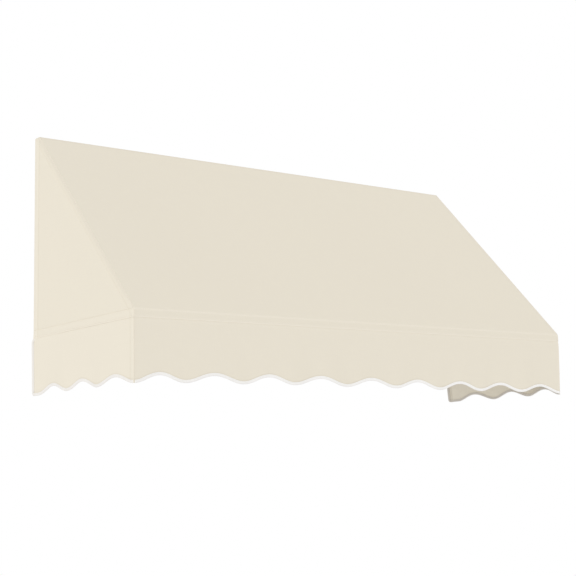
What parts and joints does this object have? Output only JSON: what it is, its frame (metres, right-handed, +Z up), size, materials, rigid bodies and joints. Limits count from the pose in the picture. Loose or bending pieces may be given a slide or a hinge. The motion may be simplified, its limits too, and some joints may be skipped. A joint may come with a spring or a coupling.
{
  "type": "window awning",
  "caption": "Fixed window awning: sloping canvas cover with closed wings and a scalloped, tape-edged valance, sewn over a square-tube aluminium frame with wall brackets.",
  "frame": {"origin": "on the wall, at the middle of the centre header bracket's fixing face, between its two holes", "axes": "+X along the wall to the right as seen from the street, +Y into the wall, +Z up; the awning stands out towards -Y"},
  "size_m": [1.83, 0.6, 0.843],
  "materials": {
    "canvas": "cream woven acrylic canvas, matt",
    "edging_tape": "white woven tape, folded and sewn",
    "tube_aluminium": "extruded, mill finish, satin",
    "cast_aluminium": "die cast, tumbled",
    "bracket_steel": "zinc plated, satin",
    "screw_steel": "stainless, bright"
  },
  "bodies": {
    "root": {"front_bar": "tube_aluminium", "front_edging": "edging_tape", "front_valance": "canvas", "header_tube": "tube_aluminium", "left_eave_arm": "tube_aluminium", "left_edging": "edging_tape", "left_front_corner": "cast_aluminium", "left_front_corner_eave_arm_screw": "screw_steel", "left_front_corner_front_bar_screw": "screw_steel", "left_front_corner_rafter_screw": "screw_steel", "left_header_bracket": "bracket_steel", "left_header_corner": "cast_aluminium", "left_header_corner_header_tube_screw": "screw_steel", "left_header_corner_rafter_screw": "screw_steel", "left_header_corner_upright_screw": "screw_steel", "left_lower_bracket": "bracket_steel", "left_rafter": "tube_aluminium", "left_upper_bracket": "bracket_steel", "left_upright": "tube_aluminium", "left_valance": "canvas", "left_wall_corner": "cast_aluminium", "left_wall_corner_eave_arm_screw": "screw_steel", "left_wall_corner_upright_screw": "screw_steel", "left_wing": "canvas", "middle_front_socket": "cast_aluminium", "middle_front_socket_left_screw": "screw_steel", "middle_front_socket_rafter_screw": "screw_steel", "middle_front_socket_right_screw": "screw_steel", "middle_header_bracket": "bracket_steel", "middle_header_socket": "cast_aluminium", "middle_header_socket_left_screw": "screw_steel", "middle_header_socket_rafter_screw": "screw_steel", "middle_header_socket_right_screw": "screw_steel", "middle_rafter": "tube_aluminium", "right_eave_arm": "tube_aluminium", "right_edging": "edging_tape", "right_front_corner": "cast_aluminium", "right_front_corner_eave_arm_screw": "screw_steel", "right_front_corner_front_bar_screw": "screw_steel", "right_front_corner_rafter_screw": "screw_steel", "right_header_bracket": "bracket_steel", "right_header_corner": "cast_aluminium", "right_header_corner_header_tube_screw": "screw_steel", "right_header_corner_rafter_screw": "screw_steel", "right_header_corner_upright_screw": "screw_steel", "right_lower_bracket": "bracket_steel", "right_rafter": "tube_aluminium", "right_upper_bracket": "bracket_steel", "right_upright": "tube_aluminium", "right_valance": "canvas", "right_wall_corner": "cast_aluminium", "right_wall_corner_eave_arm_screw": "screw_steel", "right_wall_corner_upright_screw": "screw_steel", "right_wing": "canvas", "top_panel": "canvas"}
  },
  "joints": []
}
